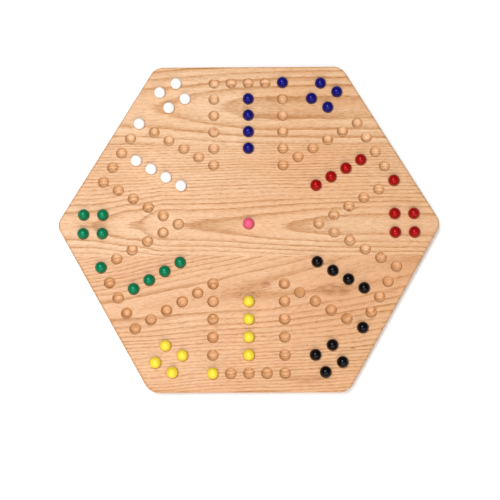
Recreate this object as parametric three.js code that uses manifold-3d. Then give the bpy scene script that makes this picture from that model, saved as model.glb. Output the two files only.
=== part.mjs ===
// Six-player marble race board: a hexagonal panel glued up from three oak staves, with a track of
// 133 round dimples, and 55 glass marbles resting in them. Millimetres, +Z up, the board's underside
// on z = 0, +X to the right and +Y away from the player who sits at the front.

import * as THREE from 'three';
import { mergeVertices } from 'three/addons/utils/BufferGeometryUtils.js';
import Module from 'manifold-3d';

// Driving dimensions
const PITCH = 23.16;
const BOARD_THICKNESS = 19;
const BOARD_APOTHEM = 9.496 * PITCH;
const CORNER_RADIUS = 19;
const EDGE_ROUND = 3;
const BACK_JOINT_Y = 109;
const FRONT_JOINT_Y = -43.5;

const MARBLE_RADIUS = 7.5;
const DIMPLE_RADIUS = 8.2;
const DIMPLE_DEPTH = 5.6;
const MARBLE_CLEARANCE = 0.3;

// The track in pitches: each of the six arms is a row of five at the rim and two columns of four
const ARMS = 6;
const ARM_ANGLE = (2 * Math.PI) / ARMS;
const HALF_WIDTH = 2;
const COLUMN_LENGTH = 4;
const INNER_STEP = COLUMN_LENGTH + 1;
const ROW_DISTANCE = HALF_WIDTH * Math.sqrt(3) + INNER_STEP;
const BASE_DISTANCE = 8.855;
const BASE_HALF_SIDE = 0.545;

// Mesh fineness
const OUTLINE_STEPS = 6;
const EDGE_STEPS = 2;
const DIMPLE_SIDES = 10;
const DIMPLE_RINGS = 3;

// Players' colours, clockwise from the back of the board
const TEAMS = [
  { name: 'blue', color: 0x1c2a93 },
  { name: 'red', color: 0xc01f22 },
  { name: 'black', color: 0x121316 },
  { name: 'yellow', color: 0xf2c92b },
  { name: 'green', color: 0x137a52 },
  { name: 'white', color: 0xf4f5f6 },
];
const CENTER_TEAM = { name: 'pink', color: 0xee6699 };

const wasm = await Module();
wasm.setup();

function toSolid(geometry) {
  const bare = geometry.index ? geometry.toNonIndexed() : geometry.clone();
  bare.deleteAttribute('normal');
  bare.deleteAttribute('uv');
  const merged = mergeVertices(bare, 1e-4);
  const mesh = new wasm.Mesh({
    numProp: 3,
    vertProperties: new Float32Array(merged.attributes.position.array),
    triVerts: new Uint32Array(merged.index.array),
  });
  return new wasm.Manifold(mesh);
}

function toGeometry(solid) {
  const mesh = solid.getMesh();
  const geometry = new THREE.BufferGeometry();
  geometry.setAttribute('position', new THREE.BufferAttribute(mesh.vertProperties, 3));
  geometry.setIndex(new THREE.BufferAttribute(mesh.triVerts, 1));
  geometry.computeVertexNormals();
  return geometry;
}

// A place in the back arm, in pitches, turned clockwise to the given arm and scaled to millimetres
function onArm(x, y, arm) {
  return new THREE.Vector2(x, y).rotateAround(new THREE.Vector2(), -arm * ARM_ANGLE).multiplyScalar(PITCH);
}

// The four places of an arm's base: a small square between this arm and the one after it
function basePlaces(arm) {
  const places = [];
  for (const out of [-1, 1]) {
    for (const side of [-1, 1]) {
      places.push(onArm(side * BASE_HALF_SIDE, BASE_DISTANCE + out * BASE_HALF_SIDE, arm + 0.5));
    }
  }
  return places;
}

function armPlaces(arm) {
  const rim = [];
  const columns = [];
  const home = [];
  for (let column = -HALF_WIDTH; column <= HALF_WIDTH; column += 1) {
    rim.push(onArm(column, ROW_DISTANCE, arm));
  }
  for (let step = 1; step <= COLUMN_LENGTH; step += 1) {
    columns.push(onArm(-HALF_WIDTH, ROW_DISTANCE - step, arm));
    columns.push(onArm(HALF_WIDTH, ROW_DISTANCE - step, arm));
    home.push(onArm(0, ROW_DISTANCE - step, arm));
  }
  const inner = onArm(-HALF_WIDTH, ROW_DISTANCE - INNER_STEP, arm);
  return { rim, columns, home, inner, base: basePlaces(arm) };
}

const arms = Array.from({ length: ARMS }, (unused, arm) => armPlaces(arm));
const center = new THREE.Vector2();

// The flat top's outline: the board's own, pulled in by the rounding of its edge. The hexagon lies
// with a flat side at the front and at the back.
function boardOutline() {
  const cornerDistance = (BOARD_APOTHEM - CORNER_RADIUS) / Math.cos(Math.PI / ARMS);
  const radius = CORNER_RADIUS - EDGE_ROUND;
  const points = [];
  for (let corner = 0; corner < ARMS; corner += 1) {
    const middle = corner * ARM_ANGLE;
    for (let step = 0; step <= OUTLINE_STEPS; step += 1) {
      const turn = middle + ARM_ANGLE * (step / OUTLINE_STEPS - 0.5);
      const x = cornerDistance * Math.cos(middle) + radius * Math.cos(turn);
      const y = cornerDistance * Math.sin(middle) + radius * Math.sin(turn);
      points.push(new THREE.Vector2(x, y));
    }
  }
  return new THREE.Shape(points);
}

function boardBlank() {
  const blank = new THREE.ExtrudeGeometry(boardOutline(), {
    depth: BOARD_THICKNESS - 2 * EDGE_ROUND,
    bevelEnabled: true,
    bevelThickness: EDGE_ROUND,
    bevelSize: EDGE_ROUND,
    bevelSegments: EDGE_STEPS,
  });
  return toSolid(blank.translate(0, 0, EDGE_ROUND));
}

// The tool that cuts a dimple: the lower end of a ball, carried straight up past the board's top
function dimpleCutter(place) {
  const centerHeight = DIMPLE_RADIUS - DIMPLE_DEPTH;
  const rimAngle = Math.acos(centerHeight / DIMPLE_RADIUS);
  const profile = [];
  for (let ring = 0; ring <= DIMPLE_RINGS; ring += 1) {
    const angle = (rimAngle * ring) / DIMPLE_RINGS;
    profile.push(new THREE.Vector2(DIMPLE_RADIUS * Math.sin(angle), -DIMPLE_RADIUS * Math.cos(angle)));
  }
  profile[0].x = 0;
  const rim = profile[DIMPLE_RINGS];
  profile.push(new THREE.Vector2(rim.x, 0), new THREE.Vector2(0, 0));
  const cutter = new THREE.LatheGeometry(profile, DIMPLE_SIDES).rotateX(Math.PI / 2);
  return toSolid(cutter.translate(place.x, place.y, BOARD_THICKNESS + centerHeight));
}

// One stave is the blank between two glue joints
function staveSolid(blank, fromY, toY, places) {
  const span = 3 * BOARD_APOTHEM;
  const block = new THREE.BoxGeometry(span, toY - fromY, span).translate(0, (fromY + toY) / 2, 0);
  let stave = blank.intersect(toSolid(block));
  for (const place of places) {
    if (place.y > fromY - DIMPLE_RADIUS && place.y < toY + DIMPLE_RADIUS) {
      stave = stave.subtract(dimpleCutter(place));
    }
  }
  return stave;
}

function addStaves(group) {
  const blank = boardBlank();
  const places = arms.flatMap((arm) => [...arm.rim, ...arm.columns, ...arm.home, arm.inner, ...arm.base]);
  places.push(center);
  const edge = BOARD_APOTHEM + 1;
  const staves = [
    { name: 'stave_back', from: BACK_JOINT_Y, to: edge, color: 0xe6b48c },
    { name: 'stave_middle', from: FRONT_JOINT_Y, to: BACK_JOINT_Y, color: 0xecbf95 },
    { name: 'stave_front', from: -edge, to: FRONT_JOINT_Y, color: 0xe9b592 },
  ];
  for (const stave of staves) {
    const geometry = toGeometry(staveSolid(blank, stave.from, stave.to, places));
    const material = new THREE.MeshStandardMaterial({ color: stave.color, roughness: 0.45, metalness: 0 });
    const mesh = new THREE.Mesh(geometry, material);
    mesh.name = stave.name;
    group.add(mesh);
  }
}

function addMarble(group, name, team, place) {
  const height = BOARD_THICKNESS - DIMPLE_DEPTH + MARBLE_CLEARANCE + MARBLE_RADIUS;
  const geometry = new THREE.IcosahedronGeometry(MARBLE_RADIUS, 1);
  const material = new THREE.MeshStandardMaterial({ color: team.color, roughness: 0.08, metalness: 0 });
  const mesh = new THREE.Mesh(geometry, material);
  mesh.name = name;
  mesh.position.set(place.x, place.y, height);
  group.add(mesh);
}

function addMarbles(group) {
  TEAMS.forEach((team, arm) => {
    const { rim, home, base } = arms[arm];
    addMarble(group, `marble_${team.name}_start`, team, rim[rim.length - 1]);
    home.forEach((place, n) => addMarble(group, `marble_${team.name}_home_${n + 1}`, team, place));
    base.forEach((place, n) => addMarble(group, `marble_${team.name}_base_${n + 1}`, team, place));
  });
  addMarble(group, `marble_${CENTER_TEAM.name}_center`, CENTER_TEAM, center);
}

const group = new THREE.Group();
addStaves(group);
addMarbles(group);

export default group;
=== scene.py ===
"""Looks of the six-player marble race board: an oak slab with round dimples, and its glass marbles."""

from math import acos, cos, pi, sin, sqrt

import bmesh
import bpy
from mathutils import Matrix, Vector
from mathutils.geometry import delaunay_2d_cdt


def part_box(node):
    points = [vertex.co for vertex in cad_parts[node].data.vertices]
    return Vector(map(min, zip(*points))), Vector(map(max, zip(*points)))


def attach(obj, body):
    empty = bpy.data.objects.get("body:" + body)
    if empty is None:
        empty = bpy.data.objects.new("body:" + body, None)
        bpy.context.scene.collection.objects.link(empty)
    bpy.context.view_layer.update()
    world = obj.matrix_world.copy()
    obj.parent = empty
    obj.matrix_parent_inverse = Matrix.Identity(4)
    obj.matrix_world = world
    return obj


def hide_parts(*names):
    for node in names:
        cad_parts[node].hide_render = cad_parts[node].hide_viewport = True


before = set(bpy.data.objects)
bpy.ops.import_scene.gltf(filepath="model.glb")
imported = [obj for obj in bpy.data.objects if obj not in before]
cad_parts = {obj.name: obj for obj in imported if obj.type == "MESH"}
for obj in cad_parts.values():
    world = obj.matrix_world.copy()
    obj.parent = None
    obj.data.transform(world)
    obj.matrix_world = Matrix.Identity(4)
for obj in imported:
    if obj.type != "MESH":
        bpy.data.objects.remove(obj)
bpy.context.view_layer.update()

MM = 0.001

# ---------------------------------------------------------------- sizes, from the frame
STAVES = ("stave_back", "stave_middle", "stave_front")
BOARD_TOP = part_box("stave_middle")[1].z
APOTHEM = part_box("stave_back")[1].y
BACK_JOINT_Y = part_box("stave_back")[0].y
FRONT_JOINT_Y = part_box("stave_front")[1].y


def marble_center(node):
    low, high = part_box(node)
    return (low + high) / 2


MARBLE_RADIUS = (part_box("marble_pink_center")[1].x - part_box("marble_pink_center")[0].x) / 2
PITCH = (marble_center("marble_blue_home_1") - marble_center("marble_blue_home_2")).length

# ---------------------------------------------------------------- driving dimensions of the looks
CORNER_RADIUS = 19 * MM
EDGE_ROUND = 3 * MM
EDGE_STEPS = 8
CORNER_STEPS = 16
SIDE_STEPS = 12
DIMPLE_RADIUS = 7.94 * MM
DIMPLE_DEPTH = 5.34 * MM
RIM_ROUND = 0.45 * MM
RIM_STEPS = 5
BOWL_STEPS = 9
DIMPLE_SIDES = 44
BALL_STEPS = 14
SAME_PLACE = 1e-7  # points nearer than this, in metres, are one point
INSIDE_OUTLINE = 1  # the triangulation keeps only what lies inside the outermost loop
RIM_MARGIN = 0.998  # a triangle whose centre lies within this much of a rim covers a dimple
MAX_CORNERS = 4  # faces with more corners than this are cut into triangles

# The track, in pitches, for the arm at the back; the other arms are this one turned
ARMS = 6
HALF_WIDTH = 2
COLUMN_LENGTH = 4
ROW_DISTANCE = HALF_WIDTH * sqrt(3) + COLUMN_LENGTH + 1
BASE_DISTANCE = 8.855
BASE_HALF_SIDE = 0.545


# ---------------------------------------------------------------- layout of the dimples
def on_arm(x, y, arm):
    """A place in the back arm, in pitches, turned clockwise to the given arm, in metres."""
    turn = -arm * 2 * pi / ARMS
    return Vector((x * cos(turn) - y * sin(turn), x * sin(turn) + y * cos(turn))) * PITCH


def arm_places(arm):
    """The dimples of one arm: its rim row, two columns, home row, inner corner and the base beside it."""
    places = [on_arm(column, ROW_DISTANCE, arm) for column in range(-HALF_WIDTH, HALF_WIDTH + 1)]
    for step in range(1, COLUMN_LENGTH + 1):
        places += [on_arm(column, ROW_DISTANCE - step, arm) for column in (-HALF_WIDTH, 0, HALF_WIDTH)]
    places.append(on_arm(-HALF_WIDTH, ROW_DISTANCE - COLUMN_LENGTH - 1, arm))
    for out in (-BASE_HALF_SIDE, BASE_HALF_SIDE):
        for side in (-BASE_HALF_SIDE, BASE_HALF_SIDE):
            places.append(on_arm(side, BASE_DISTANCE + out, arm + 0.5))
    return places


def all_places():
    places = [Vector((0.0, 0.0))]
    for arm in range(ARMS):
        places += arm_places(arm)
    return places


# ---------------------------------------------------------------- board mesh
def outline(inset):
    """The rounded hexagon pulled in by inset, counter-clockwise, with equally many points for any inset."""
    center_distance = (APOTHEM - CORNER_RADIUS) / cos(pi / ARMS)
    radius = CORNER_RADIUS - inset
    arcs = []
    for corner in range(ARMS):
        middle = corner * 2 * pi / ARMS
        center = Vector((cos(middle), sin(middle))) * center_distance
        turns = [middle + (2 * pi / ARMS) * (step / CORNER_STEPS - 0.5) for step in range(CORNER_STEPS + 1)]
        arcs.append([center + Vector((cos(turn), sin(turn))) * radius for turn in turns])
    points = []
    for corner in range(ARMS):
        start, end = arcs[corner][-1], arcs[(corner + 1) % ARMS][0]
        points += arcs[corner]
        points += [start.lerp(end, step / SIDE_STEPS) for step in range(1, SIDE_STEPS)]
    return points


def edge_profile():
    """(inset, height) from the underside, round the lower edge, up the side and round the upper edge."""
    turns = [0.5 * pi * step / EDGE_STEPS for step in range(EDGE_STEPS + 1)]
    lower = [(EDGE_ROUND * (1 - sin(turn)), EDGE_ROUND * (1 - cos(turn))) for turn in turns]
    upper = [(inset, BOARD_TOP - height) for inset, height in reversed(lower)]
    return lower + upper


def dimple_profile():
    """(radius, height above the board's top) from the flat top over the softened rim to the bottom."""
    above = DIMPLE_RADIUS - DIMPLE_DEPTH
    reach = DIMPLE_RADIUS + RIM_ROUND
    rim = sqrt(reach**2 - (above + RIM_ROUND) ** 2)
    lean = acos((above + RIM_ROUND) / reach)
    profile = []
    for step in range(RIM_STEPS + 1):
        turn = lean * step / RIM_STEPS
        profile.append((rim - RIM_ROUND * sin(turn), RIM_ROUND * (cos(turn) - 1)))
    for step in range(1, BOWL_STEPS):
        turn = lean * (1 - step / BOWL_STEPS)
        profile.append((DIMPLE_RADIUS * sin(turn), above - DIMPLE_RADIUS * cos(turn)))
    return profile


def ring_points(place, radius, height):
    turns = [2 * pi * side / DIMPLE_SIDES for side in range(DIMPLE_SIDES)]
    return [(place.x + radius * cos(turn), place.y + radius * sin(turn), height) for turn in turns]


def join_rings(bm, lower, upper):
    """Smooth quads between two closed rings of vertices that run the same way round."""
    for here in range(len(lower)):
        ahead = (here + 1) % len(lower)
        face = bm.faces.new((lower[here], lower[ahead], upper[ahead], upper[here]))
        face.smooth = True


def add_flat_top(bm, edge_ring, rims, places, rim_radius):
    """Flat triangles between the board's edge and every dimple's rim."""
    verts = list(edge_ring)
    edges = [(n, (n + 1) % len(edge_ring)) for n in range(len(edge_ring))]
    for rim in rims:
        first = len(verts)
        verts += rim
        edges += [(first + n, first + (n + 1) % len(rim)) for n in range(len(rim))]
    flat = [Vector((v.co.x, v.co.y)) for v in verts]
    triangles = delaunay_2d_cdt(flat, edges, [], INSIDE_OUTLINE, SAME_PLACE)[2]
    for triangle in triangles:
        center = sum((flat[n] for n in triangle), Vector((0.0, 0.0))) / len(triangle)
        if all((center - place).length > rim_radius * RIM_MARGIN for place in places):
            bm.faces.new([verts[n] for n in triangle])


def board_mesh():
    """The whole slab with its dimples, as one closed mesh."""
    bm = bmesh.new()
    rings = []
    for inset, height in edge_profile():
        rings.append([bm.verts.new((point.x, point.y, height)) for point in outline(inset)])
    for lower, upper in zip(rings, rings[1:]):
        join_rings(bm, lower, upper)
    bm.faces.new(list(reversed(rings[0])))
    places = all_places()
    profile = dimple_profile()
    rims = []
    for place in places:
        bowl = []
        for radius, drop in profile:
            bowl.append([bm.verts.new(point) for point in ring_points(place, radius, BOARD_TOP + drop)])
        for outer, inner in zip(bowl, bowl[1:]):
            join_rings(bm, outer, inner)
        bottom = bm.verts.new((place.x, place.y, BOARD_TOP - DIMPLE_DEPTH))
        for here, vert in enumerate(bowl[-1]):
            face = bm.faces.new((vert, bowl[-1][(here + 1) % DIMPLE_SIDES], bottom))
            face.smooth = True
        rims.append(bowl[0])
    add_flat_top(bm, rings[-1], rims, places, profile[0][0])
    bm.normal_update()
    return bm


def cut_stave(board, low_y, high_y):
    """The part of the slab between two glue joints, closed again with a flat face at each joint."""
    bm = board.copy()
    for cut_y, outward in ((low_y, -1), (high_y, 1)):
        if cut_y is None:
            continue
        bmesh.ops.bisect_plane(
            bm,
            geom=bm.verts[:] + bm.edges[:] + bm.faces[:],
            dist=SAME_PLACE,
            plane_co=(0, cut_y, 0),
            plane_no=(0, outward, 0),
            clear_outer=True,
        )
        rim = [edge for edge in bm.edges if edge.is_boundary]
        for face in bmesh.ops.holes_fill(bm, edges=rim, sides=0)["faces"]:
            face.smooth = False
        for edge in rim:
            edge.smooth = False
    bmesh.ops.triangulate(bm, faces=[face for face in bm.faces if len(face.verts) > MAX_CORNERS])
    return bm


def new_piece(name, bm, material, body, node):
    mesh = bpy.data.meshes.new(name)
    bm.to_mesh(mesh)
    bm.free()
    mesh.materials.append(material)
    piece = bpy.data.objects.new(name, mesh)
    bpy.context.scene.collection.objects.link(piece)
    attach(piece, body)
    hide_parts(node)
    return piece


# ---------------------------------------------------------------- material nodes
class Graph:
    """Short calls for building a material's nodes. A value is a number or another node's output."""

    def __init__(self, name):
        self.material = bpy.data.materials.new(name)
        self.material.use_nodes = True
        self.tree = self.material.node_tree
        self.shader = self.tree.nodes["Principled BSDF"]

    def put(self, socket, value):
        if isinstance(value, bpy.types.NodeSocket):
            self.tree.links.new(value, socket)
        else:
            socket.default_value = value

    def node(self, kind, inputs=(), **settings):
        made = self.tree.nodes.new(kind)
        for key, value in settings.items():
            setattr(made, key, value)
        for key, value in dict(inputs).items():
            self.put(made.inputs[key], value)
        return made

    def math(self, operation, first, second=0.0, third=0.0):
        return self.node("ShaderNodeMath", {0: first, 1: second, 2: third}, operation=operation).outputs[0]

    def add(self, first, second):
        return self.math("ADD", first, second)

    def times(self, first, second):
        return self.math("MULTIPLY", first, second)

    def position(self):
        """The place on the object in millimetres, as x, y and z."""
        coords = self.node("ShaderNodeTexCoord").outputs["Object"]
        scaled = self.node("ShaderNodeVectorMath", {0: coords, "Scale": 1 / MM}, operation="SCALE").outputs[0]
        split = self.node("ShaderNodeSeparateXYZ", {0: scaled})
        return split.outputs[0], split.outputs[1], split.outputs[2]

    def point(self, x, y, z):
        return self.node("ShaderNodeCombineXYZ", {0: x, 1: y, 2: z}).outputs[0]

    def scaled(self, x, y, z, scales):
        """A point for a texture, from a place in millimetres and the texture's scale along each axis."""
        return self.point(self.times(x, scales[0]), self.times(y, scales[1]), self.times(z, scales[2]))

    def noise(self, vector, detail=2.0, roughness=0.5, distortion=0.0):
        """Soft noise from 0 to 1, centred on about 0.5, with features about one unit wide."""
        inputs = {
            "Vector": vector,
            "Scale": 1.0,
            "Detail": detail,
            "Roughness": roughness,
            "Distortion": distortion,
        }
        return self.node("ShaderNodeTexNoise", inputs).outputs["Fac"]

    def remap(self, value, from_low, from_high, to_low, to_high, smooth=False):
        inputs = {0: value, 1: from_low, 2: from_high, 3: to_low, 4: to_high}
        kind = "SMOOTHSTEP" if smooth else "LINEAR"
        return self.node("ShaderNodeMapRange", inputs, interpolation_type=kind, clamp=True).outputs[0]

    def ramp(self, value, stops, kind="LINEAR"):
        """A curve through (position, brightness) stops."""
        made = self.node("ShaderNodeValToRGB", {0: value})
        made.color_ramp.interpolation = kind
        elements = made.color_ramp.elements
        while len(elements) < len(stops):
            elements.new(0.5)
        for element, (position, bright) in zip(elements, stops):
            element.position = position
            element.color = (bright, bright, bright, 1)
        return made.outputs[0]

    def mix(self, factor, first, second, blend="MIX"):
        made = self.node("ShaderNodeMix", data_type="RGBA", blend_type=blend)
        self.put(made.inputs[0], factor)
        self.put(made.inputs[6], first)
        self.put(made.inputs[7], second)
        return made.outputs[2]


def srgb(red, green, blue):
    """A linear colour from 8-bit display values."""
    def linear(level):
        level /= 255
        return level / 12.92 if level <= 0.04045 else ((level + 0.055) / 1.055) ** 2.4
    return (linear(red), linear(green), linear(blue), 1.0)


# ---------------------------------------------------------------- red oak
# The length of board, and the greatest loss of the heart's depth, that a stave's "drops" curve covers
GRAIN_SPAN = 520.0
GRAIN_DROP = 16.0
# How much of the board's thickness counts as distance from the heart
DEPTH_SHARE = 0.6
# Darkness across one growth ring, from its porous early wood to its dense late wood
EARLYWOOD = ((0.0, 1.0), (0.12, 0.8), (0.3, 0.3), (0.65, 0.0), (0.93, 0.05), (1.0, 1.0))
# Scales of the textures, in features per millimetre along the grain, across it and, if there is a third
# one, down through it
FINE_SCALES = (0.03, 0.7, 0.7)
VESSEL_SCALES = (0.13, 0.8, 0.8)
RAY_SCALES = (0.3, 2.2, 2.2)
FIBRE_SCALES = (0.02, 0.42, 0.42)
CLOUD_SCALES = (0.006, 0.014)
FLECK_SCALES = (0.05, 0.28)
# How much of the darker colour each texture brings in
FIBRE_SHARE = 0.6
PORE_SHARE = 0.75
RAY_SHARE = 0.35
# The last share darkens surfaces facing along x: partly end grain, partly painted shade on the dimples' left
# and right walls
END_GRAIN_AND_WALL_SHADE_SHARE = 0.3
PORE_RELIEF = 0.12 * MM


def grain_coordinates(graph, look):
    """x along the grain and y across it, after the stave's tilt and slow waviness."""
    x, y, z = graph.position()
    along = graph.times(x, 1 / look["wave_length"])
    across = graph.times(y, 1 / look["wave_width"])
    wave = graph.noise(graph.point(along, across, look["seed"]), 2.0, 0.45)
    bend = graph.times(graph.add(wave, -0.5), look["wave_height"])
    slope = graph.remap(y, look["tilt_from_y"], look["tilt_to_y"], look["tilt_low"], look["tilt_high"], True)
    lean = graph.times(x, slope)
    return x, graph.math("SUBTRACT", graph.add(y, bend), lean), z


def growth_rings(graph, look, x, y, z):
    """The distance from the tree's heart, in rings. The heart lies below and comes nearer along the board."""
    along = graph.times(x, 1 / look["rise_length"])
    rise = graph.noise(graph.point(along, look["seed"] + 3.7, 0.0), 1.0, 0.4)
    rise = graph.times(graph.add(rise, -0.5), look["rise_height"])
    stops = [(0.5 + place / GRAIN_SPAN, drop / GRAIN_DROP) for place, drop in look["drops"]]
    drop = graph.ramp(graph.add(graph.times(x, 1 / GRAIN_SPAN), 0.5), stops, "EASE")
    depth = graph.add(graph.times(graph.add(z, -BOARD_TOP / MM), DEPTH_SHARE), look["heart_depth"])
    depth = graph.add(depth, graph.add(rise, graph.times(drop, -GRAIN_DROP)))
    side = graph.math("SUBTRACT", y, look["heart_y"])
    distance = graph.math("SQRT", graph.add(graph.times(side, side), graph.times(depth, depth)))
    rings = graph.times(distance, look["facing"] / look["ring_width"])
    uneven = graph.noise(graph.point(graph.times(rings, 0.45), look["seed"], 0.0), 1.0, 0.5)
    return graph.add(rings, graph.add(graph.times(uneven, look["uneven"]), look["ring_shift"]))


def end_grain_and_wall_shade(graph):
    """One where the surface faces along x, across the fibres, and zero where it runs along them. On the
    board's ends this is end grain that takes up more finish; on the dimples' left and right walls it is end
    grain and painted shade together.
    """
    normal = graph.node("ShaderNodeTexCoord").outputs["Normal"]
    facing = graph.node("ShaderNodeSeparateXYZ", {"Vector": normal})
    return graph.remap(graph.math("ABSOLUTE", facing.outputs[0]), 0.25, 0.95, 0.0, 1.0, True)


def flecks(graph, look):
    """Small knots and darker streaks, each given as its middle, half length, half width and strength."""
    x, y, z = graph.position()
    total = 0.0
    for middle_x, middle_y, half_length, half_width, strength in look["flecks"]:
        along = graph.times(graph.add(x, -middle_x), 1 / half_length)
        across = graph.times(graph.add(y, -middle_y), 1 / half_width)
        square = graph.add(graph.times(along, along), graph.times(across, across))
        fleck = graph.remap(square, 0.1, 1.0, strength, 0.0, True)
        total = graph.math("MAXIMUM", total, fleck)
    streaks_at = graph.point(graph.times(x, FLECK_SCALES[0]), graph.times(y, FLECK_SCALES[1]), look["seed"])
    return graph.times(total, graph.remap(graph.noise(streaks_at, 2.0, 0.6), 0.4, 0.6, 0.2, 1.0))


def oak(name, look):
    """Oak with growth rings, pores, rays and fibre, all from the place in the stave's solid wood."""
    graph = Graph(name)
    x, y, z = grain_coordinates(graph, look)
    rings = growth_rings(graph, look, x, y, z)
    fine = graph.noise(graph.scaled(x, y, z, FINE_SCALES), 3.0, 0.65)
    frayed = graph.add(rings, graph.times(graph.add(fine, -0.5), look["fray"]))
    ring_place = graph.math("FRACT", frayed)
    early = graph.ramp(ring_place, EARLYWOOD)
    strength_at = graph.point(graph.times(rings, 0.6), graph.times(x, 0.004), look["seed"] + 11.0)
    strength = graph.remap(graph.noise(strength_at, 1.0), 0.35, 0.65, 0.45, 1.0)

    vessels = graph.noise(graph.scaled(x, y, z, VESSEL_SCALES), 2.0, 0.65)
    vessels = graph.remap(vessels, 0.48, 0.66, 0.0, 1.0)
    rays = graph.noise(graph.scaled(x, y, z, RAY_SCALES), 1.0, 0.5)
    rays = graph.remap(rays, 0.58, 0.72, 0.0, 1.0)
    fibre = graph.noise(graph.scaled(x, y, z, FIBRE_SCALES), 3.0, 0.65)
    fibre = graph.remap(fibre, 0.3, 0.7, 0.0, 1.0)
    cloud_x = graph.times(x, CLOUD_SCALES[0])
    cloud_y = graph.times(y, CLOUD_SCALES[1])
    cloud = graph.noise(graph.point(cloud_x, cloud_y, look["seed"] + 5.0), 2.0)
    cloud = graph.remap(cloud, 0.3, 0.7, 0.0, 1.0)

    band = graph.times(graph.times(early, strength), look["band_strength"])
    pores = graph.times(vessels, graph.add(graph.times(early, 0.5), 0.35))
    color = graph.mix(cloud, look["light"], look["warm"])
    color = graph.mix(graph.times(fibre, FIBRE_SHARE), color, look["tan"])
    color = graph.mix(band, color, look["dark"])
    color = graph.mix(graph.times(pores, PORE_SHARE), color, look["pore"])
    color = graph.mix(graph.times(rays, RAY_SHARE), color, look["pore"])
    color = graph.mix(flecks(graph, look), color, look["knot"])
    # Darker where the surface faces along x: end grain, plus painted shade on the dimples' left and right
    # walls
    color = graph.mix(graph.times(end_grain_and_wall_shade(graph), END_GRAIN_AND_WALL_SHADE_SHARE), color, look["pore"])
    graph.put(graph.shader.inputs["Base Color"], color)

    dull = graph.add(graph.times(pores, 0.22), graph.remap(fibre, 0.0, 1.0, 0.4, 0.48))
    graph.put(graph.shader.inputs["Roughness"], dull)
    height = graph.math("SUBTRACT", graph.times(fibre, 0.25), graph.times(pores, 0.8))
    bump = graph.node("ShaderNodeBump", {"Strength": 0.25, "Distance": PORE_RELIEF, "Height": height})
    graph.put(graph.shader.inputs["Normal"], bump.outputs[0])
    graph.shader.inputs["Specular IOR Level"].default_value = 0.3
    graph.shader.inputs["Coat Weight"].default_value = 0.06
    graph.shader.inputs["Coat Roughness"].default_value = 0.3
    return graph.material


# What the staves have in common. A stave's own entries in OAK_LOOKS come before these. Lengths are in
# millimetres. wave_* is the grain's slow waviness, tilt_* its slope across a range of y, rise_* and drops
# how the heart's depth changes along the board, and ring_width, ring_shift, uneven and fray the rings'
# spacing, place and raggedness. The sharp edge of each dark band looks toward the heart where facing is 1,
# and away from it where facing is -1.
OAK = {
    "wave_length": 120.0,
    "wave_width": 45.0,
    "wave_height": 8.0,
    "tilt_from_y": -160.0,
    "tilt_to_y": -50.0,
    "tilt_low": 0.0,
    "tilt_high": 0.0,
    "rise_length": 90.0,
    "rise_height": 1.5,
    "drops": ((-250.0, 0.0), (250.0, 5.0)),
    "facing": 1.0,
    "ring_shift": 0.0,
    "uneven": 0.9,
    "fray": 0.35,
    "band_strength": 0.9,
    "light": srgb(220, 183, 147),
    "warm": srgb(213, 165, 123),
    "tan": srgb(194, 141, 92),
    "dark": srgb(173, 116, 58),
    "pore": srgb(142, 88, 38),
    "knot": srgb(146, 88, 26),
    "flecks": ((0.0, 0.0, 1.0, 1.0, 0.0),),
}

OAK_LOOKS = {
    "stave_back": {
        "seed": 4.1,
        "heart_y": 161.0,
        "heart_depth": 95.0,
        "facing": -1.0,
        "ring_width": 4.6,
        "ring_shift": -0.02,
        "rise_height": 0.3,
        "drops": ((-250.0, 0.0), (-170.0, 1.2), (25.0, 7.3), (250.0, 7.6)),
        "uneven": 0.5,
        "light": srgb(224, 192, 158),
        "warm": srgb(217, 174, 134),
        "flecks": ((45.0, 173.0, 42.0, 6.0, 0.3), (25.0, 147.0, 48.0, 7.0, 0.35)),
    },
    "stave_middle": {
        "seed": 8.6,
        "heart_y": -2.0,
        "heart_depth": 70.0,
        "facing": -1.0,
        "ring_width": 3.1,
        "ring_shift": 0.18,
        "rise_height": 0.3,
        "uneven": 0.5,
        "drops": ((-250.0, 0.0), (-210.0, 0.4), (-150.0, 3.5), (-112.0, 6.5), (160.0, 11.6), (250.0, 12.1)),
    },
    "stave_front": {
        "seed": 2.9,
        "heart_y": -90.0,
        "heart_depth": 80.0,
        "ring_width": 3.3,
        "tilt_from_y": -190.0,
        "tilt_low": 0.06,
        "tilt_high": 0.2,
        "band_strength": 1.0,
        "light": srgb(213, 171, 131),
        "warm": srgb(206, 154, 113),
        "flecks": (
            (112.0, -88.0, 34.0, 12.0, 0.75),
            (22.0, -82.0, 9.0, 6.0, 0.7),
            (6.0, -92.5, 4.0, 2.2, 1.0),
            (134.0, -164.0, 4.5, 2.4, 1.0),
            (76.0, -204.0, 42.0, 6.0, 0.5),
        ),
    },
}


# ---------------------------------------------------------------- glass marbles
def marble_mesh(center, radius):
    """A round ball made from a cube whose squares are pushed out onto the sphere."""
    bm = bmesh.new()
    bmesh.ops.create_cube(bm, size=2.0)
    bmesh.ops.subdivide_edges(bm, edges=bm.edges[:], cuts=BALL_STEPS - 1, use_grid_fill=True)
    for vert in bm.verts:
        spread = Vector([sin(0.25 * pi * side) / sin(0.25 * pi) for side in vert.co])
        vert.co = center + spread.normalized() * radius
    for face in bm.faces:
        face.smooth = True
    return bm


GLASS_FOLD_SCALES = (0.11, 0.11, 0.16)
GLASS_HAZE_SCALES = (0.3, 0.3, 0.3)
GLASS_RELIEF = 0.05 * MM


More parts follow.
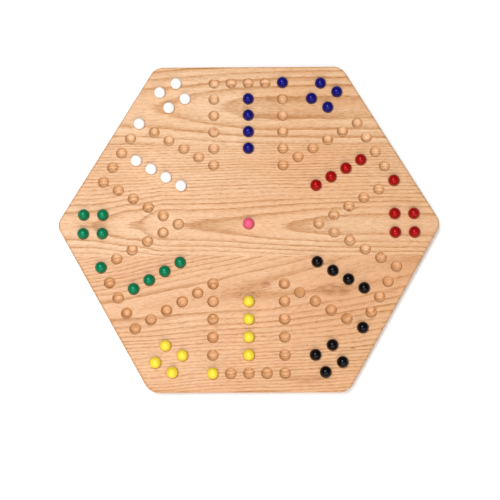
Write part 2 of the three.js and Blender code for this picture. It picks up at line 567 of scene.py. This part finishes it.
def opaque_glass(name, color, deep, glow):
    """Solid-coloured glass: even colour with faint folds of a deeper shade, under a polished surface."""
    graph = Graph(name)
    x, y, z = graph.position()
    fold = graph.noise(graph.scaled(x, y, z, GLASS_FOLD_SCALES), 3.0, 0.55, 1.4)
    color = graph.mix(graph.remap(fold, 0.42, 0.72, 0.0, 0.6), color, deep)
    graph.put(graph.shader.inputs["Base Color"], color)
    haze = graph.noise(graph.scaled(x, y, z, GLASS_HAZE_SCALES), 1.0, 0.5, 0.6)
    graph.put(graph.shader.inputs["Roughness"], graph.remap(haze, 0.3, 0.7, 0.38, 0.42))
    bump = graph.node("ShaderNodeBump", {"Strength": 0.03, "Distance": GLASS_RELIEF, "Height": haze})
    graph.put(graph.shader.inputs["Normal"], bump.outputs[0])
    graph.shader.inputs["IOR"].default_value = 1.5
    graph.shader.inputs["Specular IOR Level"].default_value = 0.5
    graph.shader.inputs["Specular Tint"].default_value = glow
    graph.shader.inputs["Coat Weight"].default_value = 0.2
    graph.shader.inputs["Coat Roughness"].default_value = 0.12
    return graph.material


# For each team the glass's colour, the deeper shade of its folds and the tint of its sheen
GLASS = {
    "blue": (srgb(17, 12, 96), srgb(12, 8, 78), srgb(80, 76, 255)),
    "red": (srgb(148, 8, 8), srgb(128, 6, 6), srgb(255, 50, 40)),
    "black": (srgb(6, 5, 7), srgb(4, 4, 4), srgb(70, 70, 84)),
    "yellow": (srgb(232, 204, 60), srgb(222, 190, 50), srgb(255, 240, 150)),
    "green": (srgb(8, 106, 70), srgb(6, 90, 56), srgb(50, 255, 180)),
    "white": (srgb(250, 249, 248), srgb(243, 243, 244), srgb(255, 255, 255)),
    "pink": (srgb(220, 84, 116), srgb(206, 70, 102), srgb(255, 150, 190)),
}


# ---------------------------------------------------------------- pieces
def make_board():
    board = board_mesh()
    spans = {
        "stave_back": (BACK_JOINT_Y, None),
        "stave_middle": (FRONT_JOINT_Y, BACK_JOINT_Y),
        "stave_front": (None, FRONT_JOINT_Y),
    }
    for node in STAVES:
        side = node.split("_")[1]
        material = oak(f"oak_{side}", {**OAK, **OAK_LOOKS[node]})
        low_y, high_y = spans[node]
        bm = cut_stave(board, low_y, high_y)
        new_piece(f"oak_{node}", bm, material, "board", node)
    board.free()


def make_marbles():
    glass = {team: opaque_glass(f"glass_{team}", *look) for team, look in GLASS.items()}
    for node in sorted(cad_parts):
        if not node.startswith("marble_"):
            continue
        team = node.split("_")[1]
        bm = marble_mesh(marble_center(node), MARBLE_RADIUS)
        new_piece(f"glass_{node}", bm, glass[team], node, node)


# ---------------------------------------------------------------- studio
FLOOR_HALF_SIZE = 6.0
FLOOR_GAP = 0.0003
FLOOR_WHITE = (0.96, 0.96, 0.96, 1)
# Each light's name, place, size and watts. Both point at the middle of the board.
LIGHTS = (
    ("overhead", (-0.34, 0.2, 1.75), (0.9, 0.8), 30),
    ("front", (0.1, -1.5, 1.5), (2.8, 1.6), 40),
)
WORLD_STRENGTH = 0.1
CAMERA_LENS = 70.34
CAMERA_PLACE = (0.01253, -0.29287, 1.25381 + BOARD_TOP)
CAMERA_TURN = (0.20255, 0.00839, -0.00492)


def make_floor():
    bm = bmesh.new()
    bmesh.ops.create_grid(bm, x_segments=1, y_segments=1, size=FLOOR_HALF_SIZE)
    mesh = bpy.data.meshes.new("floor")
    bm.to_mesh(mesh)
    bm.free()
    graph = Graph("floor_paint")
    graph.shader.inputs["Base Color"].default_value = FLOOR_WHITE
    graph.shader.inputs["Roughness"].default_value = 0.9
    mesh.materials.append(graph.material)
    floor = bpy.data.objects.new("floor", mesh)
    floor.location.z = -FLOOR_GAP
    bpy.context.scene.collection.objects.link(floor)


def add_light(name, place, size, watts):
    light = bpy.data.lights.new(name, "AREA")
    light.shape = "RECTANGLE"
    light.size, light.size_y = size
    light.energy = watts
    lamp = bpy.data.objects.new(name, light)
    lamp.location = place
    lamp.rotation_mode = "QUATERNION"
    lamp.rotation_quaternion = (-Vector(place)).to_track_quat("-Z", "Y")
    bpy.context.scene.collection.objects.link(lamp)


def make_lights():
    for light in LIGHTS:
        add_light(*light)
    world = bpy.data.worlds.new("studio")
    world.use_nodes = True
    world.node_tree.nodes["Background"].inputs[0].default_value = (1, 1, 1, 1)
    world.node_tree.nodes["Background"].inputs[1].default_value = WORLD_STRENGTH
    bpy.context.scene.world = world
    bpy.context.scene.view_settings.view_transform = "Standard"


def make_camera():
    data = bpy.data.cameras.new("camera")
    data.sensor_width = 36
    data.lens = CAMERA_LENS
    data.clip_end = 50
    camera = bpy.data.objects.new("camera", data)
    camera.location = CAMERA_PLACE
    camera.rotation_mode = "ZYX"
    camera.rotation_euler = CAMERA_TURN
    bpy.context.scene.collection.objects.link(camera)
    bpy.context.scene.camera = camera


make_camera()
make_board()
make_marbles()
make_floor()
make_lights()
